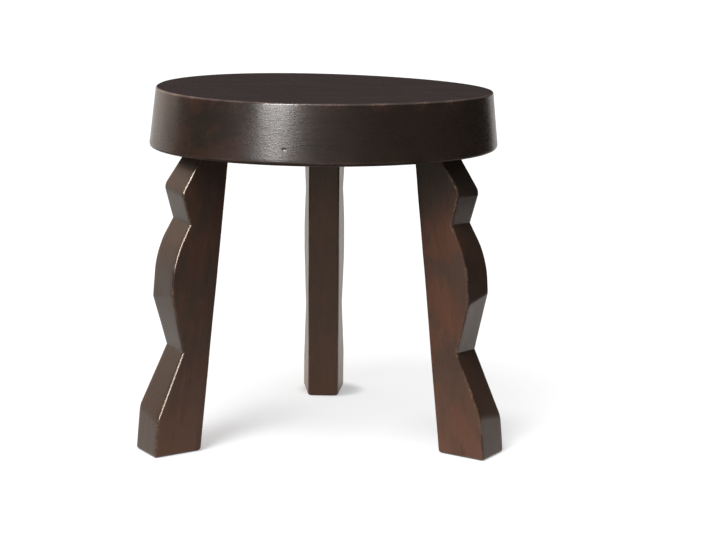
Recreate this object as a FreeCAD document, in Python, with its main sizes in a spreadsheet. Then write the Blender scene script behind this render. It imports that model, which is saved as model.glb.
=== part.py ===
import FreeCAD, Part
import os
import Sketcher

# Three-legged wooden stool: a thick round seat on three splayed, wedge-shaped, facet-carved legs.
# Millimetres, +Z up. The origin lies on the floor, in the middle of the stool's outer box.

doc = FreeCAD.newDocument("Stool")
dims = doc.addObject("Spreadsheet::Sheet", "dims")

# Each row of the sheet is one driving dimension: its alias, its value and what it measures.
DRIVING = (
    ("seat_top_diameter", 402, "seat, across the top face"),
    ("seat_bottom_diameter", 415, "seat, across the underside, a little wider than the top"),
    ("seat_thickness", 69, "seat slab"),
    ("seat_rim_round", 2, "eased edge round the top face"),
    ("seat_under_chamfer", 2, "eased edge round the underside"),
    ("leg_height", 349, "leg, from the pad to the seat, square to the floor"),
    ("leg_splay", 6.2, "degrees that the inner face leans outwards towards the floor"),
    ("leg_half_wedge", 6.4, "degrees that each side face opens outwards"),
    ("leg_inner_width", 39, "inner face, from side to side"),
    ("leg_top_depth", 36, "leg at the seat, square to the inner face"),
    ("leg_foot_depth", 62.5, "leg at the floor, square to the inner face"),
    ("leg_setback", 37, "outer face of a leg inside the seat's lower rim, at the seat"),
    ("leg_edge_chamfer", 1.5, "eased edges of a leg's inner face and foot"),
    ("upper_ridge_height_share", 0.864, "share of the inner face's length"),
    ("upper_ridge_depth_share", 0.934, "share of the foot's depth"),
    ("upper_ridge_tilt", 5, "left end above the right end"),
    ("upper_ridge_round", 12, "softened crest"),
    ("upper_notch_height_share", 0.760, "share of the inner face's length"),
    ("upper_notch_depth_share", 0.707, "share of the foot's depth"),
    ("upper_notch_tilt", 3.4, "left end above the right end"),
    ("waist_top_height_share", 0.644, "share of the inner face's length"),
    ("waist_top_depth_share", 0.978, "share of the foot's depth"),
    ("waist_top_tilt", 6.8, "left end above the right end"),
    ("waist_top_round", 100, "broad curve that swells into the waist"),
    ("waist_bottom_height_share", 0.508, "share of the inner face's length"),
    ("waist_bottom_depth_share", 0.952, "share of the foot's depth"),
    ("waist_bottom_tilt", -6.7, "left end below the right end"),
    ("waist_bottom_round", 12, "softened crest"),
    ("lower_notch_height_share", 0.333, "share of the inner face's length"),
    ("lower_notch_depth_share", 0.600, "share of the foot's depth"),
    ("lower_notch_tilt", 3.2, "left end above the right end"),
    ("foot_ridge_height_share", 0.113, "share of the inner face's length"),
    ("foot_ridge_depth_share", 1.012, "share of the foot's depth"),
    ("foot_ridge_tilt", 9.7, "left end above the right end"),
    ("foot_ridge_round", 26, "softened crest"),
    ("dowel_diameter", 12, "hidden dowel between leg and seat"),
    ("dowel_length", 60, "half in the leg and half in the seat"),
    ("dowel_spacing", 21, "between the two dowels of a leg"),
    ("dowel_chamfer", 1, "lead-in at both ends of a dowel"),
    ("dowel_glue_gap", 0.15, "round a dowel in its hole"),
    ("dowel_end_gap", 1, "past each end of a dowel, for spare glue"),
    ("pad_thickness", 2, "felt pad under a foot"),
    ("pad_inset", 2.5, "pad inside the edge of the foot"),
)
for row, (alias, value, meaning) in enumerate(DRIVING, start=1):
    dims.set(f"A{row}", meaning)
    dims.set(f"B{row}", str(value))
    dims.setAlias(f"B{row}", alias)
doc.recompute()

# The legs stand evenly round the seat, counted anticlockwise from the back, which is +Y.
LEG_NAMES = ("back", "left", "right")
BACK_AZIMUTH = 90
LEG_AZIMUTHS = {
    name: BACK_AZIMUTH + 360 * index / len(LEG_NAMES) for index, name in enumerate(LEG_NAMES)
}

# Carved outer face of a leg from the seat to the floor: the name of each edge across it.
CARVED_EDGES = ("upper_ridge", "upper_notch", "waist_top", "waist_bottom", "lower_notch", "foot_ridge")
ROUNDED_EDGES = ("upper_ridge", "waist_top", "waist_bottom", "foot_ridge")

# Sizes that several pieces share, as expressions on the sheet.
LEG_RUN = "dims.leg_height * tan(dims.leg_splay * 1 deg)"
TOP_LEVEL_DEPTH = "dims.leg_top_depth / cos(dims.leg_splay * 1 deg)"
TOP_INNER_RADIUS = f"(dims.seat_bottom_diameter / 2 - dims.leg_setback - {TOP_LEVEL_DEPTH})"
FOOT_INNER_RADIUS = f"({TOP_INNER_RADIUS} + {LEG_RUN})"
FOOT_LEVEL_DEPTH = "dims.leg_foot_depth / cos(dims.leg_splay * 1 deg)"
INNER_LENGTH = "dims.leg_height / cos(dims.leg_splay * 1 deg)"
DOWEL_RADIUS_PLACE = f"({TOP_INNER_RADIUS} + {TOP_LEVEL_DEPTH} / 2)"
DOWEL_HOLE_RADIUS = "(dims.dowel_diameter / 2 + dims.dowel_glue_gap)"
DOWEL_HOLE_DEPTH = "(dims.dowel_length / 2 + dims.dowel_end_gap)"
SEAT_UNDERSIDE = "(dims.pad_thickness + dims.leg_height)"
# The back foot reaches past the seat, so the seat's axis stands a little in front of the origin.
AXIS_Y = f"((dims.seat_bottom_diameter / 2 - {FOOT_INNER_RADIUS} - {FOOT_LEVEL_DEPTH}) / 2)"


def size(expression):
    """Value of an expression on the sheet, as a plain number."""
    value = dims.evalExpression(expression)
    return float(getattr(value, "Value", value))


def new_body(label):
    body = doc.addObject("PartDesign::Body", label)
    body.Label = label
    return body


def new_sketch(body, name, plane_role, offset=None):
    """Sketch on one of the body's own origin planes, moved by an optional placement expression."""
    sketch = body.newObject("Sketcher::SketchObject", f"{body.Name}_{name}")
    plane = next(item for item in body.Origin.OriginFeatures if item.Role == plane_role)
    sketch.AttachmentSupport = (plane, [""])
    sketch.MapMode = "FlatFace"
    if offset:
        sketch.setExpression("AttachmentOffset", offset)
    return sketch


def pin_point(sketch, index, point, x, y):
    """Tie one point of a sketch to expressions for its two coordinates."""
    for kind, expression, axis in (("DistanceX", x, -2), ("DistanceY", y, -1)):
        if expression == "0":
            sketch.addConstraint(Sketcher.Constraint("PointOnObject", index, point, axis))
            continue
        made = sketch.addConstraint(Sketcher.Constraint(kind, -1, 1, index, point, size(expression)))
        sketch.setExpression(f"Constraints[{made}]", expression)


def add_outline(sketch, corners):
    """Closed outline of straight lines through corners given as pairs of expressions."""
    places = [FreeCAD.Vector(size(x), size(y), 0) for x, y in corners]
    for start, end in zip(places, places[1:] + places[:1]):
        sketch.addGeometry(Part.LineSegment(start, end), False)
    count = len(corners)
    for index in range(count):
        sketch.addConstraint(Sketcher.Constraint("Coincident", index, 2, (index + 1) % count, 1))
    for index, (x, y) in enumerate(corners):
        pin_point(sketch, index, 1, x, y)


def add_circle(sketch, x, y, radius):
    """Circle whose centre and radius are expressions."""
    centre = FreeCAD.Vector(size(x), size(y), 0)
    index = sketch.addGeometry(Part.Circle(centre, FreeCAD.Vector(0, 0, 1), size(radius)), False)
    made = sketch.addConstraint(Sketcher.Constraint("Radius", index, size(radius)))
    sketch.setExpression(f"Constraints[{made}]", radius)
    pin_point(sketch, index, 3, x, y)


def place(body, radius, azimuth, height):
    """Stand a body at a radius and azimuth about the seat's axis, turned to face outwards."""
    turned = f"{azimuth} deg"
    body.setExpression(
        "Placement",
        f"placement(vector({radius} * cos({turned}); {AXIS_Y} + {radius} * sin({turned}); {height});"
        f" rotation({turned}; 0; 0))",
    )


def pocket_dowel_holes(body, radius_place, offset, upwards):
    """Pair of blind dowel holes, drilled from a level face of the body."""
    sketch = new_sketch(body, "dowel_places", "XY_Plane", offset)
    for side in ("-", ""):
        add_circle(sketch, radius_place, f"{side}dims.dowel_spacing / 2", DOWEL_HOLE_RADIUS)
    holes = body.newObject("PartDesign::Pocket", f"{body.Name}_dowel_holes")
    holes.Profile = sketch
    holes.Reversed = upwards
    holes.setExpression("Length", DOWEL_HOLE_DEPTH)
    return holes


def edges_where(feature, test):
    """Names of a feature's edges that pass a test."""
    return [f"Edge{index}" for index, edge in enumerate(feature.Shape.Edges, start=1) if test(edge)]


def round_edges(body, name, base, edges, radius):
    """Fillet on named edges of a feature of the body."""
    fillet = body.newObject("PartDesign::Fillet", f"{body.Name}_{name}")
    fillet.Base = (base, edges)
    fillet.setExpression("Radius", radius)
    doc.recompute()
    return fillet


def chamfer_edges(body, name, base, edges, width):
    """Chamfer on named edges of a feature of the body."""
    chamfer = body.newObject("PartDesign::Chamfer", f"{body.Name}_{name}")
    chamfer.Base = (base, edges)
    chamfer.setExpression("Size", width)
    doc.recompute()
    return chamfer


def make_seat():
    """Round slab, turned with slightly flared sides, with blind dowel holes in its underside."""
    body = new_body("seat")
    body.setExpression(
        "Placement",
        f"placement(vector(0; {AXIS_Y}; {SEAT_UNDERSIDE}); rotation({BACK_AZIMUTH} deg; 0; 0))",
    )
    profile = new_sketch(body, "profile", "XZ_Plane")
    add_outline(profile, (
        ("0", "0"),
        ("dims.seat_bottom_diameter / 2", "0"),
        ("dims.seat_top_diameter / 2", "dims.seat_thickness"),
        ("0", "dims.seat_thickness"),
    ))
    slab = body.newObject("PartDesign::Revolution", "seat_slab")
    slab.Profile = profile
    slab.ReferenceAxis = (profile, ["V_Axis"])
    doc.recompute()
    middle = size("dims.seat_thickness") / 2
    top_rim = edges_where(slab, lambda edge: edge.isClosed() and edge.CenterOfMass.z > middle)
    eased = round_edges(body, "top_rim", slab, top_rim, "dims.seat_rim_round")
    under_rim = edges_where(eased, lambda edge: edge.isClosed() and edge.CenterOfMass.z < middle)
    chamfer_edges(body, "under_rim", eased, under_rim, "dims.seat_under_chamfer")
    holes = pocket_dowel_holes(body, DOWEL_RADIUS_PLACE, None, True)
    doc.recompute()
    ring = body.newObject("PartDesign::PolarPattern", "seat_dowel_hole_ring")
    ring.Originals = [holes]
    ring.Axis = (next(item for item in body.Origin.OriginFeatures if item.Role == "Z_Axis"), [""])
    ring.Angle = 360
    ring.Occurrences = len(LEG_NAMES)
    body.Tip = ring
    return body


def leg_side_outline(side):
    """Corners of a leg's side face, square to the inner edge and along it, for the side -1 or 1."""
    along_side = "1 / cos(dims.leg_half_wedge * 1 deg)"
    level = "tan(dims.leg_splay * 1 deg)"
    corners = [
        ("0", "0"),
        ("0", INNER_LENGTH),
        (f"dims.leg_top_depth * {along_side}", f"{INNER_LENGTH} - dims.leg_top_depth * {level}"),
    ]
    for edge in CARVED_EDGES:
        corners.append((
            f"dims.leg_foot_depth * dims.{edge}_depth_share * {along_side}",
            f"{INNER_LENGTH} * dims.{edge}_height_share - {side} * dims.{edge}_tilt / 2",
        ))
    corners.append((f"dims.leg_foot_depth * {along_side}", f"-dims.leg_foot_depth * {level}"))
    return corners


def runs_across(edge):
    """True for an edge that crosses a leg from one side face to the other."""
    start, end = (vertex.Point for vertex in (edge.Vertexes[0], edge.Vertexes[-1]))
    return abs(start.y - end.y) > size("dims.leg_inner_width / 2")


def round_carving(body, post):
    """Soften each carved crest of a leg with its own radius, and leave the notches crisp."""
    crossing = sorted(filter(runs_across, post.Shape.Edges), key=lambda edge: -edge.CenterOfMass.z)
    # The level ends hold the first two and the last two crossing edges.
    crests = dict(zip(CARVED_EDGES, (edge.CenterOfMass for edge in crossing[2:-2])))
    feature = post
    for name in ROUNDED_EDGES:
        near = size(f"dims.{name}_round / 100")
        edge = edges_where(feature, lambda item: item.CenterOfMass.distanceToPoint(crests[name]) < near)
        feature = round_edges(body, name, feature, edge, f"dims.{name}_round")
    return feature


def ease_leg_edges(body, feature):
    """Chamfer the two long edges of a leg's inner face and the edges of its foot."""
    long_edge = size("dims.leg_height / 2")
    on_floor = size("dims.leg_edge_chamfer / 2")

    def is_eased(edge):
        return edge.Length > long_edge or max(vertex.Z for vertex in edge.Vertexes) < on_floor

    chamfer_edges(body, "eased", feature, edges_where(feature, is_eased), "dims.leg_edge_chamfer")


def make_leg(name, azimuth):
    """Splayed leg: a ruled loft between its two side faces, each carved to the same zigzag outline."""
    body = new_body(f"leg_{name}")
    place(body, FOOT_INNER_RADIUS, azimuth, "dims.pad_thickness")
    outlines = []
    for side, word in ((1, "right_side"), (-1, "left_side")):
        offset = (
            f"placement(vector(0; 0; {-side} * dims.leg_inner_width / 2);"
            f" rotation(dims.leg_splay * 1 deg; {side} * dims.leg_half_wedge * 1 deg; 0))"
        )
        outline = new_sketch(body, word, "XZ_Plane", offset)
        add_outline(outline, leg_side_outline(side))
        outlines.append(outline)
    doc.recompute()
    post = body.newObject("PartDesign::AdditiveLoft", f"{body.Name}_post")
    post.Profile = outlines[0]
    post.Sections = [outlines[1]]
    post.Ruled = True
    doc.recompute()
    eased = round_carving(body, post)
    ease_leg_edges(body, eased)
    dowel_place = f"({TOP_LEVEL_DEPTH} / 2 - {LEG_RUN})"
    level_top = "placement(vector(0; 0; dims.leg_height); rotation(0; 0; 0))"
    pocket_dowel_holes(body, dowel_place, level_top, False)
    doc.recompute()
    return body


def make_dowel(name, azimuth, side):
    """Straight dowel with chamfered ends, standing half in a leg and half in the seat."""
    body = new_body(name)
    half_spacing = f"({side} * dims.dowel_spacing / 2)"
    turned = f"{azimuth} deg"
    body.setExpression(
        "Placement",
        f"placement(vector({DOWEL_RADIUS_PLACE} * cos({turned}) - {half_spacing} * sin({turned});"
        f" {AXIS_Y} + {DOWEL_RADIUS_PLACE} * sin({turned}) + {half_spacing} * cos({turned});"
        f" {SEAT_UNDERSIDE} - dims.dowel_length / 2); rotation({turned}; 0; 0))",
    )
    section = new_sketch(body, "section", "XY_Plane")
    add_circle(section, "0", "0", "dims.dowel_diameter / 2")
    rod = body.newObject("PartDesign::Pad", f"{name}_rod")
    rod.Profile = section
    rod.setExpression("Length", "dims.dowel_length")
    doc.recompute()
    chamfer_edges(body, "ends", rod, edges_where(rod, lambda edge: edge.isClosed()), "dims.dowel_chamfer")
    return body


def make_pad(name, azimuth):
    """Thin pad under a foot, a little inside the foot's own outline."""
    body = new_body(f"pad_{name}")
    place(body, FOOT_INNER_RADIUS, azimuth, "0")
    inner_half = "(dims.leg_inner_width / 2 - dims.pad_inset)"
    outer_half = f"({inner_half} + dims.leg_foot_depth * tan(dims.leg_half_wedge * 1 deg))"
    outer = f"({FOOT_LEVEL_DEPTH} - dims.pad_inset)"
    outline = new_sketch(body, "outline", "XY_Plane")
    add_outline(outline, (
        ("dims.pad_inset", f"-{inner_half}"),
        (outer, f"-{outer_half}"),
        (outer, outer_half),
        ("dims.pad_inset", inner_half),
    ))
    sheet = body.newObject("PartDesign::Pad", f"{body.Name}_sheet")
    sheet.Profile = outline
    sheet.setExpression("Length", "dims.pad_thickness")
    return body


pieces = [make_seat()]
for leg_name, leg_azimuth in LEG_AZIMUTHS.items():
    pieces.append(make_leg(leg_name, leg_azimuth))
    pieces.append(make_pad(leg_name, leg_azimuth))
    for dowel_side, dowel_word in ((-1, "left"), (1, "right")):
        pieces.append(make_dowel(f"dowel_{leg_name}_{dowel_word}", leg_azimuth, dowel_side))
doc.recompute()

for item in doc.Objects:
    if "Invalid" in item.State or "Error" in item.State:
        raise RuntimeError(f"{item.Label} failed: {item.State}")
for piece in pieces:
    if piece.Shape.isNull() or not piece.Shape.isValid():
        raise RuntimeError(f"{piece.Label} has no valid shape")

os.makedirs("parts", exist_ok=True)
for piece in pieces:
    piece.Shape.exportStep(f"parts/{piece.Label}.step")
    box = piece.Shape.BoundBox
    print(f"{piece.Label}: {piece.Shape.Volume:.0f} mm3, {box.XMin:.1f}..{box.XMax:.1f},"
          f" {box.YMin:.1f}..{box.YMax:.1f}, {box.ZMin:.1f}..{box.ZMax:.1f}")
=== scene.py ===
"""Three-legged stool in dark stained wood: a thick round seat on carved, splayed legs.

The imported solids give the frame. The seat, the legs and the felt under the feet are remade
here with eased, hand-worked edges, and every piece gets its wood or felt from nodes.
Lengths are in metres. Angles are in degrees where a value isn't turned into radians.
"""

import math

import bmesh
import bpy
from mathutils import Matrix, Vector, noise


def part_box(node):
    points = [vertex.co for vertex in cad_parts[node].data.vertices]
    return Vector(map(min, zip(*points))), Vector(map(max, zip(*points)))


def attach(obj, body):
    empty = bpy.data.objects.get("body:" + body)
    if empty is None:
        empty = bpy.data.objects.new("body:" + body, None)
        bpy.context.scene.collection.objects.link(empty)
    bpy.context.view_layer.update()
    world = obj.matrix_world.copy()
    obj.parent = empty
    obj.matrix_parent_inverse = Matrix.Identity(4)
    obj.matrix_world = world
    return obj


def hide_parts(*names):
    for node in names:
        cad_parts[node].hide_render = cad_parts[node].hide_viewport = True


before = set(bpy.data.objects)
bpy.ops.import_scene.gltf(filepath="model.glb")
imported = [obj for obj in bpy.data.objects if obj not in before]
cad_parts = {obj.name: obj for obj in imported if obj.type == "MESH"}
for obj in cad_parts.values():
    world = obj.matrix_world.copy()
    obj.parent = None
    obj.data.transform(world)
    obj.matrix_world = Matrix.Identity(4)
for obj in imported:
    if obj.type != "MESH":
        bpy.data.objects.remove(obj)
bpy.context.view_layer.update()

# Seat. Its place and thickness come from the frame.
SEAT_TOP_RADIUS = 0.201
SEAT_BOTTOM_RADIUS = 0.2075
SEAT_RIM_ROUND = 0.0020
SEAT_UNDER_ROUND = 0.0048
SEAT_RIM_SEGMENTS = 5
SEAT_STEPS = 240
SEAT_SLICE = 0.008
# Corners farther out than this lie on the rims and the wall.
SEAT_INNER_RADIUS = SEAT_TOP_RADIUS / 2

# The slab is worked by hand: higher on its left, twisted a little across its top, out of round
# towards the right, with more flare on the left wall, and nowhere quite even.
SEAT_TOP_TILT = 0.0021
SEAT_TWIST = 0.0020
SEAT_OUT_OF_ROUND = 0.0016
SEAT_LEFT_FLARE = 0.0012
SEAT_UNEVENNESS = 0.00045
SEAT_SWELL_SEED = 3.0

# How far the stain is rubbed, and how strong the rims' painted highlight is: all along the rim,
# less under the slab. Only rubbed: a band where hands take hold of it below the rim and above
# the underside.
SEAT_RIM_WEAR_AND_HIGHLIGHT = 1.0
SEAT_UNDER_WEAR_AND_HIGHLIGHT = 0.15
SEAT_HANDLED_START = SEAT_RIM_ROUND / 4
SEAT_HANDLED_BAND = 0.018
SEAT_HANDLED_UNDERSIDE = 0.6

# The upright share of a face's normal: within the first a face is part of the slab's wall, and
# below the second it looks down and is sheltered.
SEAT_WALL_SLOPE = 0.5
SEAT_SHELTERED_SLOPE = -0.1

# A small dent in the seat's front, where something has knocked it.
NICK_AZIMUTH = -11.2
NICK_HEIGHT = 0.3695
NICK_LENGTH = 0.0019
NICK_WIDTH = 0.0010
NICK_DEPTH = 0.0006
NICK_REACH = 0.008
NICK_CUTS = 11

# Legs.
LEG_AZIMUTHS = {"back": 90.0, "left": 210.0, "right": 330.0}
LEG_HEIGHT = 0.349
LEG_SPLAY = math.radians(6.2)
LEG_HALF_WEDGE = math.radians(6.4)
LEG_INNER_WIDTH = 0.039
LEG_TOP_DEPTH = 0.036
LEG_FOOT_DEPTH = 0.0625
LEG_SETBACK = 0.037
LEG_EDGE_ROUND = 0.0026
FOOT_EDGE_ROUND = 0.0030
LEG_CELL = 0.009
LEG_UNEVENNESS = 0.00035
# Faces that look outwards by more than this belong to the carved zigzag.
LEG_CARVED_FACING = 0.6

# Carved edges from the seat down: share of the leg's height, share of the foot's depth,
# slant across the leg, and the round of a crest, which is zero in a notch.
CARVED_EDGES = (
    (0.864, 0.934, 0.0050, 0.012),
    (0.760, 0.707, 0.0034, 0.0),
    (0.644, 0.978, 0.0068, 0.100),
    (0.508, 0.952, -0.0067, 0.012),
    (0.333, 0.600, 0.0032, 0.0),
    (0.113, 1.012, 0.0097, 0.026),
)
CREST_SEGMENTS = 6
EDGE_SEGMENTS = 3
SHARP_ANGLE = math.radians(22.0)
EASED_ANGLE = math.radians(35.0)

# Each leg's tint, lighter on the back leg and darkest on the left; its painted shade just under
# the seat and from which height up it starts; how red its patches are, and which part of the
# figured wood the leg is cut from.
LEG_TINTS = {
    "back": (0.220, 0.1400, 0.1010, 1.0),
    "left": (0.052, 0.0300, 0.0215, 1.0),
    "right": (0.092, 0.0430, 0.0275, 1.0),
}
# Painted shade under the seat: its share on each leg, and the heights over which it comes in.
LEG_SEAT_SHADE_AMOUNT = {"back": 1.0, "left": 0.0, "right": 1.0}
LEG_SEAT_SHADE_LOW = {"back": 0.23, "left": 0.23, "right": 0.27}
LEG_SEAT_SHADE_HIGH = 0.33
LEG_REDNESS = {"back": 0.6, "left": 0.4, "right": 1.0}
LEG_WOOD = {"back": 2.3, "left": 4.6, "right": 1.3}
LEG_WOOD_STEP = Vector((1.0, 0.37, 1.7))

# Each pad is let into its foot: the wood ends just above the floor and hides the felt.
FOOT_GAP = 0.0004
RECESS_MARGIN = 0.0005
PAD_INSET = 0.0037
PAD_EDGE_ROUND = 0.0005

# The slow and the quick swell of a hand-worked surface, in waves per metre.
SLOW_SWELL = 14.0
QUICK_SWELL = 37.0
QUICK_SWELL_SHARE = 0.5

# How near corners count as one, and as lying at one height.
MERGE_DISTANCE = 1e-6
LEVEL_TOLERANCE = 1e-5

# Camera, fitted to the photograph's frame.
CAMERA_AZIMUTH = math.radians(0.783)
CAMERA_HEADING = math.radians(0.245)
CAMERA_PITCH = math.radians(10.233)
CAMERA_ROLL = math.radians(0.559)
CAMERA_DISTANCE = 2.4272
CAMERA_HEIGHT = 0.6377
CAMERA_LENS = 102.481
CAMERA_SENSOR = 36.0

# Places that follow from the frame and the sizes above.
seat_low, seat_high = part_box("seat")
SEAT_AXIS = Vector(((seat_low.x + seat_high.x) / 2, (seat_low.y + seat_high.y) / 2, 0.0))
SEAT_UNDERSIDE = seat_low.z
SEAT_TOP = seat_high.z
PAD_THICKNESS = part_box("pad_back")[1].z
LEG_LENGTH = LEG_HEIGHT / math.cos(LEG_SPLAY)
LEG_UPRIGHT = Vector((math.sin(LEG_SPLAY), 0.0, math.cos(LEG_SPLAY)))
LEG_TOP_RADIUS = SEAT_BOTTOM_RADIUS - LEG_SETBACK - LEG_TOP_DEPTH / math.cos(LEG_SPLAY)
LEG_FOOT_RADIUS = LEG_TOP_RADIUS + LEG_HEIGHT * math.tan(LEG_SPLAY)
LEG_FOOT_SPREAD = LEG_FOOT_DEPTH * math.tan(LEG_HALF_WEDGE)

# Patterns in the wood: length along the grain against the width, scale, detail and roughness.
BLOTCHES = (0.65, 30.0, 4.0, 0.60)
MOTTLE = (0.40, 30.0, 5.0, 0.65)
STREAKS = (0.045, 240.0, 5.0, 0.65)
FIBRES = (0.035, 1100.0, 3.0, 0.60)
SCRAPES = (0.22, 560.0, 3.0, 0.60)
SMUDGES = (0.25, 46.0, 5.0, 0.65)
RING_LENGTH = 0.10
RINGS = {"Scale": 30.0, "Distortion": 6.0, "Detail": 3.0, "Detail Scale": 1.4}
# The shares of the patterns in the figure's colour and in the open grain's height.
FIGURE_MOTTLE = 0.64
FIGURE_STREAKS = 0.30
FIGURE_RINGS = 0.06
RELIEF_STREAKS = 0.50
RELIEF_SCRAPES = 0.45
# The span of each pattern that is spread from nothing to full.
FIGURE_SPAN = (0.30, 0.68)
BLOTCH_SPAN = (0.42, 0.58)
PORE_SPAN = (0.60, 0.72)
SMUDGE_SPAN = (0.50, 0.68)
RELIEF_SPAN = (0.20, 0.70)

# Rubbed edges: scale, detail and roughness of the patches and of the scratches in them.
RUBBED_PATCHES = (38.0, 4.0, 0.6)
RUBBED_PATCH_SPAN = (0.38, 0.66)
RUBBED_SCRATCHES = (420.0, 2.0, 0.5)
RUBBED_SCRATCH_SPAN = (0.30, 0.70)
RUBBED_AMOUNT = 0.8
# On a rubbed edge, the share that is left of the roughness and of the open grain.
RUBBED_ROUGHNESS = 0.5
RUBBED_RELIEF = 0.25

# Satin finish of each wood: roughness on the grain's ridges and in its hollows, and its depth.
SEAT_FINISH = (0.24, 0.34, 0.00045)
LEG_FINISH = (0.26, 0.42, 0.0007)
DOWEL_FINISH = (0.50, 0.60, 0.0002)
WOOD_BUMP = 0.5
WOOD_IOR = 1.33

# Seat wood. The stain on the slab's side goes from red brown on its left to plain dark brown.
SEAT_WOOD = (0.31, 0.07, 0.0)
SEAT_WOOD_TURN = (0.0, math.radians(90.0), 0.0)
SEAT_DARK = (0.0290, 0.0176, 0.0174, 1.0)
SEAT_LIGHT = (0.0460, 0.0284, 0.0276, 1.0)
SEAT_WALL = (0.0205, 0.0150, 0.0098, 1.0)
SEAT_WALL_SHARE = 0.8
SEAT_RED = (0.0480, 0.0220, 0.0155, 1.0)
SEAT_RED_SIDE = -0.14
SEAT_RED_SHARE = 0.65
SEAT_DARK_SIDE = 0.06
SEAT_DARK_SIDE_SHARE = 0.10
SEAT_HANDLED = (0.0750, 0.0360, 0.0240, 1.0)
# Painted highlight along the eased rims, lighter than the wood.
SEAT_RIM_HIGHLIGHT = (0.1020, 0.0770, 0.0680, 1.0)
SEAT_RIM_HIGHLIGHT_SHARE = 0.5
SEAT_RUBBED = (0.2100, 0.1450, 0.1180, 1.0)
SEAT_GLOSS = 0.5
SEAT_SHELTERED_GLOSS = 0.05

# Leg wood: brown with red patches, painted light towards the foot, smudged, and darker on the carved
# face.
LEG_BROWN_DARK = (0.0360, 0.0230, 0.0175, 1.0)
LEG_BROWN_LIGHT = (0.0740, 0.0450, 0.0330, 1.0)
LEG_RED_DARK = (0.0780, 0.0260, 0.0140, 1.0)
LEG_RED_LIGHT = (0.1600, 0.0570, 0.0310, 1.0)
# Painted light: lighter towards the foot, where the floor lights the leg and the seat doesn't shade
# it.
LEG_FOOT_LIGHT = (0.1900, 0.0880, 0.0550, 1.0)
LEG_FOOT_LIGHT_HEIGHT = 0.11
LEG_FOOT_LIGHT_SHARE = 0.85
LEG_SMUDGED = (0.0360, 0.0215, 0.0170, 1.0)
LEG_SMUDGED_SHARE = 0.5
LEG_TINT_SHARE = 0.4
# Colour of the painted shade just under the seat.
LEG_SEAT_SHADE_COLOUR = (0.0220, 0.0160, 0.0125, 1.0)
LEG_CARVED = (0.0340, 0.0215, 0.0152, 1.0)
LEG_CARVED_SHARE = 0.75
LEG_PORES = (0.0130, 0.0070, 0.0050, 1.0)
LEG_PORES_SHARE = 0.5
LEG_RUBBED = (0.2000, 0.1250, 0.0850, 1.0)
LEG_GLOSS_TINT = (1.0, 0.88, 0.77, 1.0)

# Dowel wood and felt.
DOWEL_DARK = (0.34, 0.22, 0.12, 1.0)
DOWEL_LIGHT = (0.52, 0.37, 0.22, 1.0)
FELT_DARK = (0.020, 0.014, 0.011, 1.0)
FELT_LIGHT = (0.050, 0.036, 0.029, 1.0)
FELT_FLUFF = (900.0, 4.0, 0.7)
FELT_FLUFF_SPAN = (0.3, 0.7)
FELT_MATTING = (150.0, 3.0, 0.6)
FELT_TONE_SPAN = (0.7, 1.3)
FELT_ROUGHNESS = (0.85, 1.0)
FELT_BUMP = 0.7
FELT_DEPTH = 0.0005
FELT_GLOSS = 0.15
FELT_SHEEN = 0.3

# Floor. It glows less round the feet, where its own shade is paler, so that shadows stay there.
WHITE = (1.0, 1.0, 1.0, 1.0)
FLOOR_HALF = 40.0
FLOOR_SHADE = (0.294, 0.300, 0.308, 1.0)
FLOOR_BOUNCE = (0.35, 0.35, 0.35, 1.0)
FLOOR_IN_GLOSS = (1.0, 0.94, 0.87, 1.0)
FLOOR_GLOW = 0.78
FOOT_SHADE = (0.65, 0.665, 0.69, 1.0)
FOOT_GLOW = 0.42
FOOT_SHADOW_NEAR = 0.03
FOOT_SHADOW_REACH = {"back": 0.050, "left": 0.265, "right": 0.19}
FOOT_SHADOW_SHIFT = {
    "back": Vector((0.010, 0.010, 0.0)),
    "left": Vector((0.045, 0.065, 0.0)),
    "right": Vector((0.040, 0.050, 0.0)),
}

# Dark flags, cards that stand at both sides: the two ends of their foot, and their height.
FLAG_ENDS = {
    "left": (Vector((-0.87, -0.39, 0.0)), Vector((-0.92, 0.20, 0.0))),
    "right": (Vector((0.42, -1.10, 0.0)), Vector((0.86, 1.08, 0.0))),
}
FLAG_HEIGHTS = {"left": 0.52, "right": 0.80}
FLAG_SHADE = (0.02, 0.02, 0.02, 1.0)

# Light. A place is an azimuth from the camera's side towards its right, and an elevation.
SOFT_PLACE = (-25.0, 62.0)
SOFT_REACH = 54.0
SOFT_STRENGTH = 0.92
ROOM_STRENGTH = 0.14
REAR_PLACE = (172.0, 8.0)
REAR_REACH = 50.0
REAR_STRENGTH = 0.05
REAR_FULL = 0.5
SIDE_PLACE = (-128.0, 12.0)
SIDE_REACH = 46.0
SIDE_STRENGTH = 1.35
SIDE_LIGHT = (1.0, 0.77, 0.63, 1.0)
# Suns by their place, strength and width.
SUNS = {
    "key": ((-26.0, 58.0), 1.7, 24.0),
    "low_key": ((-26.0, 35.0), 0.75, 20.0),
}
SUN_DISTANCE = 3.0
STRIP_PLACE = (-29.5, 25.5)
STRIP_DISTANCE = 2.0
STRIP_WIDTH = 0.56
STRIP_HEIGHT = 1.60
STRIP_POWER = 110.0


def outward(azimuth_from_camera, elevation):
    """Unit vector from the stool, turned from the camera's side towards its right."""
    turn = math.radians(azimuth_from_camera)
    rise = math.radians(elevation)
    return Vector((math.sin(turn) * math.cos(rise), -math.cos(turn) * math.cos(rise), math.sin(rise)))


# Node helpers


def add_node(tree, kind, values=None, **settings):
    """A node whose inputs are set from plain values or linked from other nodes' outputs."""
    node = tree.nodes.new(kind)
    for name, value in settings.items():
        setattr(node, name, value)
    for socket, value in (values or {}).items():
        if isinstance(value, bpy.types.NodeSocket):
            tree.links.new(value, node.inputs[socket])
        else:
            node.inputs[socket].default_value = value
    return node


def calculate(tree, operation, first, second):
    return add_node(tree, "ShaderNodeMath", {0: first, 1: second}, operation=operation).outputs[0]


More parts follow.
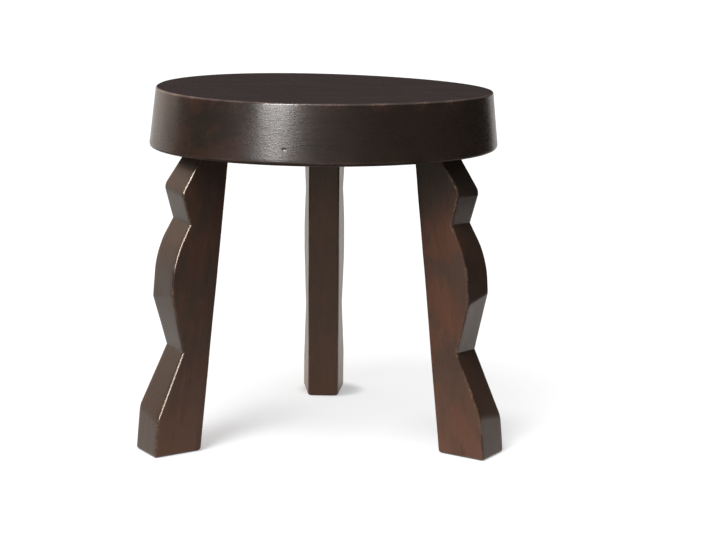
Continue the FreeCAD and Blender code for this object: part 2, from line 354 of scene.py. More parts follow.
def add_shares(tree, parts):
    """Adds up values, each given with its share."""
    total = 0.0
    for value, share in parts:
        total = calculate(tree, "ADD", total, calculate(tree, "MULTIPLY", value, share))
    return total


def remap(tree, value, span, result=(0.0, 1.0), smooth=False):
    """Spreads a span of the value over the result, and keeps to its two ends."""
    values = {
        "Value": value,
        "From Min": span[0],
        "From Max": span[1],
        "To Min": result[0],
        "To Max": result[1],
    }
    way = "SMOOTHSTEP" if smooth else "LINEAR"
    return add_node(tree, "ShaderNodeMapRange", values, interpolation_type=way).outputs["Result"]


def mix_colours(tree, factor, first, second):
    """A Mix node's colour: its sockets 6 and 7 take the two colours, and 2 gives the result."""
    values = {0: factor, 6: first, 7: second}
    return add_node(tree, "ShaderNodeMix", values, data_type="RGBA").outputs[2]


def stretch(tree, vector, scale):
    values = {0: vector, 1: scale}
    return add_node(tree, "ShaderNodeVectorMath", values, operation="MULTIPLY").outputs["Vector"]


def cloud(tree, vector, scale, detail, roughness):
    values = {"Vector": vector, "Scale": scale, "Detail": detail, "Roughness": roughness}
    return add_node(tree, "ShaderNodeTexNoise", values).outputs["Fac"]


def grain_cloud(tree, place, length, scale, detail, roughness):
    """A cloud that is drawn out along the grain, which runs along Z."""
    return cloud(tree, stretch(tree, place, (1.0, 1.0, length)), scale, detail, roughness)


def object_coordinates(tree):
    return add_node(tree, "ShaderNodeTexCoord").outputs["Object"]


def attribute_value(tree, name, socket="Fac"):
    return add_node(tree, "ShaderNodeAttribute", attribute_name=name).outputs[socket]


def new_group(name, inputs, outputs):
    """An empty shader node group with named sockets, each given as (name, socket type)."""
    group = bpy.data.node_groups.new(name, "ShaderNodeTree")
    for socket, kind in inputs:
        group.interface.new_socket(socket, in_out="INPUT", socket_type=kind)
    for socket, kind in outputs:
        group.interface.new_socket(socket, in_out="OUTPUT", socket_type=kind)
    given = group.nodes.new("NodeGroupInput").outputs
    result = group.nodes.new("NodeGroupOutput").inputs
    return group, given, result


def make_grain_group():
    """Wood grain that runs along Z of the place it is given, in metres."""
    group, given, result = new_group(
        "wood_grain",
        [("Place", "NodeSocketVector")],
        [
            ("Figure", "NodeSocketFloat"),
            ("Blotches", "NodeSocketFloat"),
            ("Pores", "NodeSocketFloat"),
            ("Relief", "NodeSocketFloat"),
        ],
    )
    place = given["Place"]
    blotches = grain_cloud(group, place, *BLOTCHES)
    mottle = grain_cloud(group, place, *MOTTLE)
    streaks = grain_cloud(group, place, *STREAKS)
    fibres = grain_cloud(group, place, *FIBRES)
    scrapes = grain_cloud(group, place, *SCRAPES)
    values = {"Vector": stretch(group, place, (1.0, 1.0, RING_LENGTH)), **RINGS}
    wave = add_node(group, "ShaderNodeTexWave", values, wave_type="BANDS", bands_direction="DIAGONAL")
    rings = wave.outputs["Fac"]
    figure = ((mottle, FIGURE_MOTTLE), (streaks, FIGURE_STREAKS), (rings, FIGURE_RINGS))
    relief = ((streaks, RELIEF_STREAKS), (scrapes, RELIEF_SCRAPES))
    group.links.new(remap(group, add_shares(group, figure), FIGURE_SPAN), result["Figure"])
    group.links.new(remap(group, blotches, BLOTCH_SPAN, smooth=True), result["Blotches"])
    group.links.new(remap(group, fibres, PORE_SPAN, smooth=True), result["Pores"])
    group.links.new(add_shares(group, relief), result["Relief"])
    return group


def make_wear_group():
    """Where the stain is rubbed off an edge: broken up so that it comes and goes."""
    group, given, result = new_group(
        "rubbed_edge",
        [("Place", "NodeSocketVector"), ("Edge", "NodeSocketFloat"), ("Amount", "NodeSocketFloat")],
        [("Mask", "NodeSocketFloat")],
    )
    place = given["Place"]
    patches = remap(group, cloud(group, place, *RUBBED_PATCHES), RUBBED_PATCH_SPAN, smooth=True)
    scratches = remap(group, cloud(group, place, *RUBBED_SCRATCHES), RUBBED_SCRATCH_SPAN)
    broken = calculate(group, "MULTIPLY", patches, scratches)
    rubbed = calculate(group, "MULTIPLY", broken, given["Edge"])
    group.links.new(calculate(group, "MULTIPLY", rubbed, given["Amount"]), result["Mask"])
    return group


grain_group = make_grain_group()
wear_group = make_wear_group()


def grain_nodes(tree, place):
    return add_node(tree, "ShaderNodeGroup", {"Place": place}, node_tree=grain_group).outputs


def rub_off(tree, colour, place, edge, worn_colour):
    """Shows the worn colour where an edge is rubbed."""
    values = {"Place": place, "Edge": edge, "Amount": RUBBED_AMOUNT}
    mask = add_node(tree, "ShaderNodeGroup", values, node_tree=wear_group).outputs["Mask"]
    return mix_colours(tree, mask, colour, worn_colour)


# Materials


def new_material(name):
    material = bpy.data.materials.new(name)
    material.use_nodes = True
    return material, material.node_tree, material.node_tree.nodes["Principled BSDF"]


def add_bump(tree, shader, height, strength, depth):
    values = {"Height": height, "Strength": strength, "Distance": depth}
    bump = add_node(tree, "ShaderNodeBump", values)
    tree.links.new(bump.outputs["Normal"], shader.inputs["Normal"])


def finish_wood(tree, shader, colour, grain, finish, edge=0.0):
    """Sends a wood's colour, satin gloss and open grain to its shader. Eased edges are smoother."""
    ridge_roughness, hollow_roughness, depth = finish
    tree.links.new(colour, shader.inputs["Base Color"])
    roughness = remap(tree, grain["Relief"], RELIEF_SPAN, (hollow_roughness, ridge_roughness))
    smoother = remap(tree, edge, (0.0, 1.0), (1.0, RUBBED_ROUGHNESS))
    tree.links.new(calculate(tree, "MULTIPLY", roughness, smoother), shader.inputs["Roughness"])
    flatter = remap(tree, edge, (0.0, 1.0), (1.0, RUBBED_RELIEF))
    relief = calculate(tree, "MULTIPLY", grain["Relief"], flatter)
    add_bump(tree, shader, relief, WOOD_BUMP, depth)
    shader.inputs["IOR"].default_value = WOOD_IOR


def make_seat_wood():
    """Seat: nearly black brown, warmer where hands take hold of it, grain from left to right."""
    material, tree, shader = new_material("seat_dark_stained_wood")
    coordinates = object_coordinates(tree)
    values = {"Vector": coordinates, "Location": SEAT_WOOD, "Rotation": SEAT_WOOD_TURN}
    grain = grain_nodes(tree, add_node(tree, "ShaderNodeMapping", values).outputs["Vector"])
    colour = mix_colours(tree, grain["Figure"], SEAT_DARK, SEAT_LIGHT)
    wall = attribute_value(tree, "wall")
    colour = mix_colours(tree, calculate(tree, "MULTIPLY", wall, SEAT_WALL_SHARE), colour, SEAT_WALL)
    across = add_node(tree, "ShaderNodeSeparateXYZ", {0: coordinates}).outputs["X"]
    sides = (SEAT_RED_SIDE, SEAT_DARK_SIDE)
    reddish = remap(tree, across, sides, (SEAT_RED_SHARE, SEAT_DARK_SIDE_SHARE), smooth=True)
    patches = calculate(tree, "MULTIPLY", grain["Blotches"], wall)
    colour = mix_colours(tree, calculate(tree, "MULTIPLY", reddish, patches), colour, SEAT_RED)
    colour = rub_off(tree, colour, coordinates, attribute_value(tree, "handled"), SEAT_HANDLED)
    edge = attribute_value(tree, "eased")
    # Painted highlight along the eased rims, then the rubbed wear.
    colour = mix_colours(tree, calculate(tree, "MULTIPLY", edge, SEAT_RIM_HIGHLIGHT_SHARE), colour, SEAT_RIM_HIGHLIGHT)
    colour = rub_off(tree, colour, coordinates, edge, SEAT_RUBBED)
    finish_wood(tree, shader, colour, grain, SEAT_FINISH, edge)
    sheltered = attribute_value(tree, "sheltered")
    gloss = remap(tree, sheltered, (0.0, 1.0), (SEAT_GLOSS, SEAT_SHELTERED_GLOSS))
    tree.links.new(gloss, shader.inputs["Specular IOR Level"])
    return material


def make_leg_wood():
    """Legs: reddish dark brown, grain along each leg by the piece's own attribute."""
    material, tree, shader = new_material("leg_red_brown_stained_wood")
    place = attribute_value(tree, "grain_place", "Vector")
    grain = grain_nodes(tree, place)
    brown = mix_colours(tree, grain["Figure"], LEG_BROWN_DARK, LEG_BROWN_LIGHT)
    red = mix_colours(tree, grain["Figure"], LEG_RED_DARK, LEG_RED_LIGHT)
    redness = calculate(tree, "MULTIPLY", grain["Blotches"], attribute_value(tree, "redness"))
    colour = mix_colours(tree, redness, brown, red)
    height = add_node(tree, "ShaderNodeSeparateXYZ", {0: object_coordinates(tree)}).outputs["Z"]
    # Painted light: lighter towards the foot, where the floor lights the leg.
    painted_foot_light = remap(tree, height, (LEG_FOOT_LIGHT_HEIGHT, 0.0), (0.0, LEG_FOOT_LIGHT_SHARE))
    colour = mix_colours(tree, painted_foot_light, colour, LEG_FOOT_LIGHT)
    smudges = remap(tree, grain_cloud(tree, place, *SMUDGES), SMUDGE_SPAN, (0.0, LEG_SMUDGED_SHARE))
    colour = mix_colours(tree, smudges, colour, LEG_SMUDGED)
    colour = mix_colours(tree, LEG_TINT_SHARE, colour, attribute_value(tree, "tint", "Color"))
    # Painted shade: darker just under the seat, where the seat shades the leg.
    colour = mix_colours(tree, attribute_value(tree, "painted_seat_shade"), colour, LEG_SEAT_SHADE_COLOUR)
    carved = calculate(tree, "MULTIPLY", attribute_value(tree, "carved"), LEG_CARVED_SHARE)
    colour = mix_colours(tree, carved, colour, LEG_CARVED)
    pores = calculate(tree, "MULTIPLY", grain["Pores"], LEG_PORES_SHARE)
    colour = mix_colours(tree, pores, colour, LEG_PORES)
    edge = attribute_value(tree, "eased")
    colour = rub_off(tree, colour, place, edge, LEG_RUBBED)
    finish_wood(tree, shader, colour, grain, LEG_FINISH, edge)
    shader.inputs["Specular Tint"].default_value = LEG_GLOSS_TINT
    return material


def make_dowel_wood():
    """Dowels: plain pale hardwood, hidden in the joints."""
    material, tree, shader = new_material("dowel_pale_wood")
    grain = grain_nodes(tree, object_coordinates(tree))
    colour = mix_colours(tree, grain["Figure"], DOWEL_DARK, DOWEL_LIGHT)
    finish_wood(tree, shader, colour, grain, DOWEL_FINISH)
    return material


def make_felt():
    """Pressed felt under the feet: dark, matted, without gloss."""
    material, tree, shader = new_material("foot_pressed_felt")
    coordinates = object_coordinates(tree)
    fluff = cloud(tree, coordinates, *FELT_FLUFF)
    matting = cloud(tree, coordinates, *FELT_MATTING)
    tone = remap(tree, calculate(tree, "ADD", fluff, matting), FELT_TONE_SPAN)
    tree.links.new(mix_colours(tree, tone, FELT_DARK, FELT_LIGHT), shader.inputs["Base Color"])
    roughness = remap(tree, fluff, FELT_FLUFF_SPAN, FELT_ROUGHNESS)
    tree.links.new(roughness, shader.inputs["Roughness"])
    add_bump(tree, shader, fluff, FELT_BUMP, FELT_DEPTH)
    shader.inputs["Specular IOR Level"].default_value = FELT_GLOSS
    shader.inputs["Sheen Weight"].default_value = FELT_SHEEN
    return material


# Mesh helpers


def everything(mesh):
    return mesh.verts[:] + mesh.edges[:] + mesh.faces[:]


def ease(mesh, edges, width, segments):
    """Rounds edges and returns the faces that the round adds."""
    made = bmesh.ops.bevel(
        mesh,
        geom=edges,
        offset=width,
        offset_type="OFFSET",
        segments=segments,
        profile=0.5,
        affect="EDGES",
        material=-1,
        clamp_overlap=True,
    )
    return made["faces"]


def slice_along(mesh, direction, start, end, step):
    """Cuts the mesh square to a direction, in even steps, for a hand-worked surface."""
    count = max(1, round((end - start) / step))
    for index in range(1, count):
        bmesh.ops.bisect_plane(
            mesh,
            geom=everything(mesh),
            dist=MERGE_DISTANCE,
            plane_co=direction * (start + (end - start) * index / count),
            plane_no=direction,
        )


def lift(mesh, made, height):
    """Raises the corners that an extrusion has made."""
    raised = [item for item in made["geom"] if isinstance(item, bmesh.types.BMVert)]
    bmesh.ops.translate(mesh, verts=raised, vec=(0.0, 0.0, height))


def unevenness(place, seed):
    """Swell of a hand-worked surface, from about -1 to 1."""
    slow = noise.noise(place * SLOW_SWELL + Vector((seed, 0.0, 0.0)))
    quick = noise.noise(place * QUICK_SWELL + Vector((0.0, seed, 0.0)))
    return slow + QUICK_SWELL_SHARE * quick


def make_object(name, mesh, material):
    data = bpy.data.meshes.new(name)
    mesh.to_mesh(data)
    mesh.free()
    data.materials.append(material)
    piece = bpy.data.objects.new(name, data)
    bpy.context.scene.collection.objects.link(piece)
    return piece


def place_piece(name, mesh, material, node):
    """Makes the mesh a piece of the stool that stands for a CAD node."""
    for edge in mesh.edges:
        edge.smooth = len(edge.link_faces) == 2 and edge.calc_face_angle() < SHARP_ANGLE
    for face in mesh.faces:
        face.smooth = True
    piece = make_object(name, mesh, material)
    shading = piece.modifiers.new("even_shading", "WEIGHTED_NORMAL")
    shading.keep_sharp = True
    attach(piece, "root")
    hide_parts(node)


# Seat


def turn_seat():
    """The slab, turned from half its outline."""
    mesh = bmesh.new()
    outline = (
        (0.0, SEAT_UNDERSIDE),
        (SEAT_BOTTOM_RADIUS, SEAT_UNDERSIDE),
        (SEAT_TOP_RADIUS, SEAT_TOP),
        (0.0, SEAT_TOP),
    )
    corners = [mesh.verts.new((radius, 0.0, height)) for radius, height in outline]
    lines = [mesh.edges.new(pair) for pair in zip(corners, corners[1:])]
    bmesh.ops.spin(
        mesh,
        geom=corners + lines,
        cent=(0.0, 0.0, 0.0),
        axis=(0.0, 0.0, 1.0),
        angle=math.tau,
        steps=SEAT_STEPS,
        use_merge=True,
    )
    bmesh.ops.remove_doubles(mesh, verts=mesh.verts, dist=MERGE_DISTANCE)
    bmesh.ops.recalc_face_normals(mesh, faces=mesh.faces)
    return mesh


def on_seat_rim(corner, height):
    at_height = abs(corner.co.z - height) < LEVEL_TOLERANCE
    return at_height and corner.co.xy.length > SEAT_INNER_RADIUS


def ease_seat_rim(mesh, height, width, wear_and_highlight):
    """Rounds the rim at one height and notes how far it is rubbed and given its painted highlight."""
    eased = mesh.faces.layers.float["eased"]
    rim = [edge for edge in mesh.edges if all(on_seat_rim(end, height) for end in edge.verts)]
    for face in ease(mesh, rim, width, SEAT_RIM_SEGMENTS):
        face[eased] = wear_and_highlight


def mark_seat(mesh):
    """Notes which faces are the wall, which are sheltered, and where hands take hold."""
    mesh.normal_update()
    wall = mesh.faces.layers.float.new("wall")
    sheltered = mesh.faces.layers.float.new("sheltered")
    for face in mesh.faces:
        face[wall] = 1.0 if abs(face.normal.z) < SEAT_WALL_SLOPE else 0.0
        face[sheltered] = 1.0 if face.normal.z < SEAT_SHELTERED_SLOPE else 0.0
    handled = mesh.verts.layers.float.new("handled")
    for corner in mesh.verts:
        depth = SEAT_TOP - corner.co.z
        if depth > SEAT_HANDLED_START:
            height = corner.co.z - SEAT_UNDERSIDE
            near_rim = 1.0 - depth / SEAT_HANDLED_BAND
            near_underside = SEAT_HANDLED_UNDERSIDE * (1.0 - height / SEAT_HANDLED_BAND)
            corner[handled] = max(0.0, near_rim, near_underside)


def work_seat(mesh):
    """Gives the slab its hand-worked shape."""
    for corner in mesh.verts:
        across = corner.co.x / SEAT_TOP_RADIUS
        up = (corner.co.z - SEAT_UNDERSIDE) / (SEAT_TOP - SEAT_UNDERSIDE)
        if corner.co.xy.length > SEAT_INNER_RADIUS:
            flare = SEAT_LEFT_FLARE * max(0.0, -across) * (1.0 - 2.0 * up)
            uneven = SEAT_UNEVENNESS * unevenness(corner.co, SEAT_SWELL_SEED)
            swell = uneven + SEAT_OUT_OF_ROUND * across + flare
            corner.co.xy *= 1.0 + swell / SEAT_TOP_RADIUS
        backward = corner.co.y / SEAT_TOP_RADIUS
        corner.co.z -= (SEAT_TOP_TILT + SEAT_TWIST * backward) * across * up


def dent_seat(mesh):
    """Presses the nick into the seat's side, on a patch that is cut finer first."""
    facing = outward(NICK_AZIMUTH, 0.0)
    along = outward(NICK_AZIMUTH + 90.0, 0.0)
    share = (SEAT_TOP - NICK_HEIGHT) / (SEAT_TOP - SEAT_UNDERSIDE)
    radius = SEAT_TOP_RADIUS + (SEAT_BOTTOM_RADIUS - SEAT_TOP_RADIUS) * share
    middle = facing * radius + Vector((0.0, 0.0, NICK_HEIGHT))
    near = [face for face in mesh.faces if (face.calc_center_median() - middle).length < NICK_REACH]
    patch = list(dict.fromkeys(edge for face in near for edge in face.edges))
    bmesh.ops.subdivide_edges(mesh, edges=patch, cuts=NICK_CUTS, use_grid_fill=True)
    bmesh.ops.poke(mesh, faces=[face for face in mesh.faces if len(face.verts) > 4])
    for corner in mesh.verts:
        offset = corner.co - middle
        if offset.length < NICK_REACH:
            spread = (offset.dot(along) / NICK_LENGTH) ** 2 + (offset.z / NICK_WIDTH) ** 2
            corner.co -= facing * NICK_DEPTH * math.exp(-spread)


def build_seat(material):
    mesh = turn_seat()
    mesh.faces.layers.float.new("eased")
    ease_seat_rim(mesh, SEAT_TOP, SEAT_RIM_ROUND, SEAT_RIM_WEAR_AND_HIGHLIGHT)
    ease_seat_rim(mesh, SEAT_UNDERSIDE, SEAT_UNDER_ROUND, SEAT_UNDER_WEAR_AND_HIGHLIGHT)
    slice_along(mesh, Vector((0.0, 0.0, 1.0)), SEAT_UNDERSIDE, SEAT_TOP, SEAT_SLICE)
    mark_seat(mesh)
    work_seat(mesh)
    dent_seat(mesh)
    bmesh.ops.translate(mesh, verts=mesh.verts, vec=SEAT_AXIS)
    place_piece("seat_slab", mesh, material, "seat")


# Legs, made in their own frame: X outwards, square to the inner face, and Z up along that face


def leg_outline(side):
    """Corners of one side of a leg: up the inner face, over the top and down the carved face."""
    inner = [(0.0, 0.0), (0.0, LEG_LENGTH)]
    top = [(LEG_TOP_DEPTH, LEG_LENGTH - LEG_TOP_DEPTH * math.tan(LEG_SPLAY))]
    carved = [
        (LEG_FOOT_DEPTH * depth, LEG_LENGTH * height - side * slant / 2)
        for height, depth, slant, _ in CARVED_EDGES
    ]
    foot = [(LEG_FOOT_DEPTH, -LEG_FOOT_DEPTH * math.tan(LEG_SPLAY))]
    spread = math.tan(LEG_HALF_WEDGE)
    return [
        (depth, side * (LEG_INNER_WIDTH / 2 + depth * spread), height)
        for depth, height in inner + top + carved + foot
    ]


def leg_side(mesh, side):
    """The corners of one side of a leg, and the loop of edges round it."""
    corners = [mesh.verts.new(place) for place in leg_outline(side)]
    loop = [mesh.edges.new(pair) for pair in zip(corners, corners[1:] + corners[:1])]
    return corners, loop


def join_leg_sides(mesh):
    """Closes a leg between its two sides and returns the edges of its carved crests and notches."""
    left, left_loop = leg_side(mesh, -1)
    right, right_loop = leg_side(mesh, 1)
    bmesh.ops.bridge_loops(mesh, edges=left_loop + right_loop)
    for loop in (left_loop, right_loop):
        bmesh.ops.contextual_create(mesh, geom=loop)
    bmesh.ops.recalc_face_normals(mesh, faces=mesh.faces)
    # The carved edges stand just before the outline's last corner, the outer edge of the sole.
    across = [mesh.edges.get(pair) for pair in zip(left, right)]
    return across[-1 - len(CARVED_EDGES) : -1]


def round_crests(mesh, carved_edges):
    for edge, (_, _, _, crest_round) in zip(carved_edges, CARVED_EDGES):
        if crest_round:
            width = crest_round * math.tan(edge.calc_face_angle() / 2)
            ease(mesh, [edge], width, CREST_SEGMENTS)


def lowest_face(mesh):
    return min(mesh.faces, key=lambda face: face.calc_center_median().dot(LEG_UPRIGHT))


def ease_leg(mesh):
    """Brings the sole down round the felt, then rounds the edges of the sole and of both sides."""
    eased = mesh.faces.layers.float["eased"]
    sole = lowest_face(mesh)
    drop = (PAD_THICKNESS - FOOT_GAP) / math.cos(LEG_SPLAY)
    bmesh.ops.translate(mesh, verts=sole.verts[:], vec=(0.0, 0.0, -drop))
    rounded = ease(mesh, sole.edges[:], FOOT_EDGE_ROUND, EDGE_SEGMENTS)
    for face in rounded:
        face[eased] = 1.0
    mesh.normal_update()
    under_seat = LEG_LENGTH - LEG_TOP_DEPTH * math.tan(LEG_SPLAY) - LEG_EDGE_ROUND
    sides = [face for face in mesh.faces if abs(face.normal.y) > math.cos(LEG_HALF_WEDGE * 2)]
    worn = dict.fromkeys(edge for face in sides + rounded for edge in face.edges)
    worn = [edge for edge in worn if edge.calc_face_angle() > EASED_ANGLE]
    worn = [edge for edge in worn if min(end.co.z for end in edge.verts) < under_seat]
    for face in ease(mesh, worn, LEG_EDGE_ROUND, EDGE_SEGMENTS):
        face[eased] = 1.0


def recess_sole(mesh):
    """Sinks the place for the felt into the sole."""
    recess = lowest_face(mesh)
    bmesh.ops.inset_individual(mesh, faces=[recess], thickness=RECESS_MARGIN)
    made = bmesh.ops.extrude_discrete_faces(mesh, faces=[recess])
    depth = PAD_THICKNESS - FOOT_GAP
    bmesh.ops.translate(mesh, verts=made["faces"][0].verts[:], vec=LEG_UPRIGHT * depth)


def slice_leg(mesh):
    half_width = LEG_INNER_WIDTH / 2 + LEG_FOOT_SPREAD
    slice_along(mesh, Vector((0.0, 0.0, 1.0)), 0.0, LEG_LENGTH, LEG_CELL)
    slice_along(mesh, Vector((1.0, 0.0, 0.0)), 0.0, LEG_FOOT_DEPTH, LEG_CELL)
    slice_along(mesh, Vector((0.0, 1.0, 0.0)), -half_width, half_width, LEG_CELL)


def mark_leg(mesh, name):
    """Notes the carved face, the leg's tint and redness, and the painted shade under the seat."""
    mesh.normal_update()
    carved = mesh.faces.layers.float.new("carved")
    tint = mesh.faces.layers.float_color.new("tint")
    redness = mesh.faces.layers.float.new("redness")
    for face in mesh.faces:
        face[carved] = 1.0 if face.normal.x > LEG_CARVED_FACING else 0.0
        face[tint] = LEG_TINTS[name]
        face[redness] = LEG_REDNESS[name]
    # Painted shade of the seat, from nothing at its low height to full just under the seat.
    painted_seat_shade = mesh.verts.layers.float.new("painted_seat_shade")
    for corner in mesh.verts:
        rise = corner.co.dot(LEG_UPRIGHT) + PAD_THICKNESS - LEG_SEAT_SHADE_LOW[name]
        share = rise / (LEG_SEAT_SHADE_HIGH - LEG_SEAT_SHADE_LOW[name])
        corner[painted_seat_shade] = LEG_SEAT_SHADE_AMOUNT[name] * min(1.0, max(0.0, share))


def work_leg(mesh, seed):
    """Gives the leg its own part of the wood, and a hand-worked surface between seat and floor."""
    own_wood = LEG_WOOD_STEP * seed
    grain_place = mesh.verts.layers.float_vector.new("grain_place")
    for corner in mesh.verts:
        corner[grain_place] = corner.co + own_wood
    moves = {}
    for corner in mesh.verts:
        height = corner.co.dot(LEG_UPRIGHT)
        if LEG_EDGE_ROUND < height < LEG_HEIGHT - LEG_EDGE_ROUND:
            swell = unevenness(corner.co + own_wood, seed)
            moves[corner] = corner.normal * LEG_UNEVENNESS * swell
    for corner, move in moves.items():
        corner.co += move


def leg_frame(azimuth):
    """From the leg's own frame to its place under the seat."""
    stand = Matrix.Translation(SEAT_AXIS + Vector((0.0, 0.0, PAD_THICKNESS)))
    turn = Matrix.Rotation(math.radians(azimuth), 4, "Z")
    splay = Matrix.Rotation(-LEG_SPLAY, 4, "Y")
    return stand @ turn @ Matrix.Translation((LEG_FOOT_RADIUS, 0.0, 0.0)) @ splay


def build_leg(name, material):
    mesh = bmesh.new()
    carved_edges = join_leg_sides(mesh)
    mesh.faces.layers.float.new("eased")
    round_crests(mesh, carved_edges)
    ease_leg(mesh)
    recess_sole(mesh)
    slice_leg(mesh)
    mark_leg(mesh, name)
    work_leg(mesh, LEG_WOOD[name])
    bmesh.ops.transform(mesh, verts=mesh.verts, matrix=leg_frame(LEG_AZIMUTHS[name]))
    place_piece(f"carved_leg_{name}", mesh, material, f"leg_{name}")


# Felt under the feet


def build_pad(name, material):
    """A felt pad in its CAD node's place, with a soft upper and lower edge."""
    low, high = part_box(f"pad_{name}")
    near = LEG_FOOT_RADIUS + PAD_INSET
    far = LEG_FOOT_RADIUS + LEG_FOOT_DEPTH / math.cos(LEG_SPLAY) - PAD_INSET
    narrow = LEG_INNER_WIDTH / 2 - PAD_INSET
    wide = LEG_INNER_WIDTH / 2 + LEG_FOOT_SPREAD - PAD_INSET
    mesh = bmesh.new()
    corners = [
        mesh.verts.new((near, -narrow, low.z)),
        mesh.verts.new((far, -wide, low.z)),
        mesh.verts.new((far, wide, low.z)),
        mesh.verts.new((near, narrow, low.z)),
    ]
    sheet = mesh.faces.new(corners)
    made = bmesh.ops.extrude_face_region(mesh, geom=[sheet], use_keep_orig=True)
    lift(mesh, made, high.z - low.z)
    bmesh.ops.recalc_face_normals(mesh, faces=mesh.faces)
    ease(mesh, mesh.edges[:], PAD_EDGE_ROUND, EDGE_SEGMENTS)
    turn = Matrix.Rotation(math.radians(LEG_AZIMUTHS[name]), 4, "Z")
    bmesh.ops.transform(mesh, verts=mesh.verts, matrix=Matrix.Translation(SEAT_AXIS) @ turn)
    place_piece(f"felt_pad_{name}", mesh, material, f"pad_{name}")


# Floor, light and camera


def build_floor():
    """Pale floor: white to the eye and in gloss. It keeps the shadows of the feet."""
    material, tree, shader = new_material("pale_floor")
    seen = add_node(tree, "ShaderNodeLightPath").outputs
    shown = calculate(tree, "MAXIMUM", seen["Is Camera Ray"], seen["Is Glossy Ray"])
    shown = calculate(tree, "MAXIMUM", shown, seen["Is Transmission Ray"])
    coordinates = object_coordinates(tree)
    open_floor = 1.0
    for name, azimuth in LEG_AZIMUTHS.items():
        turn = Matrix.Rotation(math.radians(azimuth), 4, "Z")
        foot = SEAT_AXIS + turn @ Vector((LEG_FOOT_RADIUS + LEG_FOOT_DEPTH / 2, 0.0, 0.0))
        values = {0: coordinates, 1: foot + FOOT_SHADOW_SHIFT[name]}
        away = add_node(tree, "ShaderNodeVectorMath", values, operation="DISTANCE").outputs["Value"]
        clear = remap(tree, away, (FOOT_SHADOW_NEAR, FOOT_SHADOW_REACH[name]), smooth=True)
        open_floor = calculate(tree, "MINIMUM", open_floor, clear)
    shade = mix_colours(tree, open_floor, FOOT_SHADE, FLOOR_SHADE)
    tree.links.new(mix_colours(tree, shown, FLOOR_BOUNCE, shade), shader.inputs["Base Color"])
    glow = remap(tree, open_floor, (0.0, 1.0), (FOOT_GLOW, FLOOR_GLOW))
    tree.links.new(calculate(tree, "MULTIPLY", shown, glow), shader.inputs["Emission Strength"])
    glow_colour = mix_colours(tree, seen["Is Glossy Ray"], WHITE, FLOOR_IN_GLOSS)
    tree.links.new(glow_colour, shader.inputs["Emission Color"])
    shader.inputs["Roughness"].default_value = 1.0
    shader.inputs["Specular IOR Level"].default_value = 0.0
    mesh = bmesh.new()
    bmesh.ops.create_grid(mesh, x_segments=1, y_segments=1, size=FLOOR_HALF)
    make_object("floor", mesh, material)


def build_dark_flags():
    """Dark flags at both sides of the studio. Only gloss shows them, on the stool's two sides."""
    material, _, shader = new_material("dark_card")
    shader.inputs["Base Color"].default_value = FLAG_SHADE
    shader.inputs["Roughness"].default_value = 1.0
    for side, ends in FLAG_ENDS.items():
        mesh = bmesh.new()
        foot = mesh.edges.new([mesh.verts.new(end) for end in ends])
        lift(mesh, bmesh.ops.extrude_edge_only(mesh, edges=[foot]), FLAG_HEIGHTS[side])
        flag = make_object(f"dark_flag_{side}", mesh, material)
        flag.visible_camera = False
        flag.visible_diffuse = False
        flag.visible_shadow = False


def light_room():
    """Soft light from above, warm light from the left, dim behind. The camera sees plain white."""
    world = bpy.data.worlds.new("studio")
    world.use_nodes = True
    bpy.context.scene.world = world
    tree = world.node_tree
    direction = add_node(tree, "ShaderNodeTexCoord").outputs["Generated"]

    def towards(place, reach):
        values = {0: direction, 1: outward(*place)}
        node = add_node(tree, "ShaderNodeVectorMath", values, operation="DOT_PRODUCT")
        edge = math.cos(math.radians(reach))
        return remap(tree, node.outputs["Value"], (edge, 1.0), smooth=True)

    soft = calculate(tree, "MULTIPLY", towards(SOFT_PLACE, SOFT_REACH), SOFT_STRENGTH)
    rear = towards(REAR_PLACE, REAR_REACH)
    dim = remap(tree, rear, (0.0, REAR_FULL), (ROOM_STRENGTH, REAR_STRENGTH))
    side = calculate(tree, "MULTIPLY", towards(SIDE_PLACE, SIDE_REACH), SIDE_STRENGTH)
    plain = tree.nodes["Background"]
    plain.inputs["Color"].default_value = WHITE
    tree.links.new(calculate(tree, "ADD", soft, dim), plain.inputs["Strength"])
    warm = add_node(tree, "ShaderNodeBackground", {"Color": SIDE_LIGHT, "Strength": side})
    both = add_node(tree, "ShaderNodeAddShader", {0: plain.outputs[0], 1: warm.outputs[0]})
    backdrop = add_node(tree, "ShaderNodeBackground", {"Color": WHITE, "Strength": 1.0})
    camera_ray = add_node(tree, "ShaderNodeLightPath").outputs["Is Camera Ray"]
    values = {0: camera_ray, 1: both.outputs[0], 2: backdrop.outputs[0]}
    shown = add_node(tree, "ShaderNodeMixShader", values)
    tree.links.new(shown.outputs[0], tree.nodes["World Output"].inputs["Surface"])


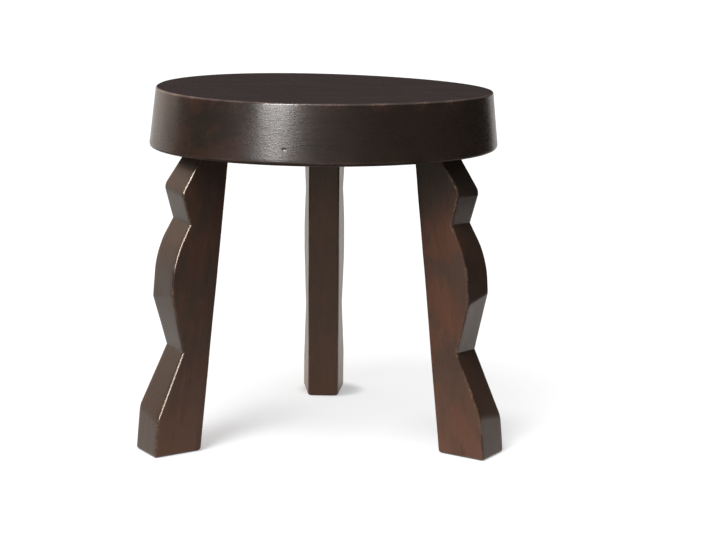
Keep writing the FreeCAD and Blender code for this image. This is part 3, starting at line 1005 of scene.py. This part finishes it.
def hang_lamp(light, place, distance):
    """Hangs a lamp in a direction from the seat, turned towards it."""
    lamp = bpy.data.objects.new(light.name, light)
    direction = outward(*place)
    aim = SEAT_AXIS + Vector((0.0, 0.0, (SEAT_UNDERSIDE + SEAT_TOP) / 2))
    turn = direction.to_track_quat("Z", "Y").to_matrix().to_4x4()
    lamp.matrix_world = Matrix.Translation(aim + direction * distance) @ turn
    bpy.context.scene.collection.objects.link(lamp)
    return lamp


def hang_lamps():
    """Two soft suns from the front left, and a strip lamp that only gloss shows."""
    for name, (place, strength, width) in SUNS.items():
        sun = bpy.data.lights.new(name, "SUN")
        sun.energy = strength
        sun.angle = math.radians(width)
        hang_lamp(sun, place, SUN_DISTANCE)
    strip = bpy.data.lights.new("strip", "AREA")
    strip.shape = "RECTANGLE"
    strip.size = STRIP_WIDTH
    strip.size_y = STRIP_HEIGHT
    strip.energy = STRIP_POWER
    hang_lamp(strip, STRIP_PLACE, STRIP_DISTANCE).visible_diffuse = False


def set_camera():
    camera = bpy.data.objects.new("camera", bpy.data.cameras.new("camera"))
    camera.data.sensor_width = CAMERA_SENSOR
    camera.data.lens = CAMERA_LENS
    away = Vector((math.sin(CAMERA_AZIMUTH), -math.cos(CAMERA_AZIMUTH), 0.0))
    place = SEAT_AXIS + away * CAMERA_DISTANCE + Vector((0.0, 0.0, CAMERA_HEIGHT))
    heading = Matrix.Rotation(-CAMERA_HEADING, 4, "Z")
    pitch = Matrix.Rotation(math.pi / 2 - CAMERA_PITCH, 4, "X")
    roll = Matrix.Rotation(CAMERA_ROLL, 4, "Z")
    camera.matrix_world = Matrix.Translation(place) @ heading @ pitch @ roll
    bpy.context.scene.collection.objects.link(camera)
    bpy.context.scene.camera = camera


seat_wood = make_seat_wood()
leg_wood = make_leg_wood()
dowel_wood = make_dowel_wood()
felt = make_felt()

build_seat(seat_wood)
for leg in LEG_AZIMUTHS:
    build_leg(leg, leg_wood)
    build_pad(leg, felt)
for node_name, node_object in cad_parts.items():
    if node_name.startswith("dowel_"):
        node_object.data.materials.clear()
        node_object.data.materials.append(dowel_wood)

build_floor()
build_dark_flags()
light_room()
hang_lamps()
set_camera()
bpy.context.scene.view_settings.view_transform = "Standard"
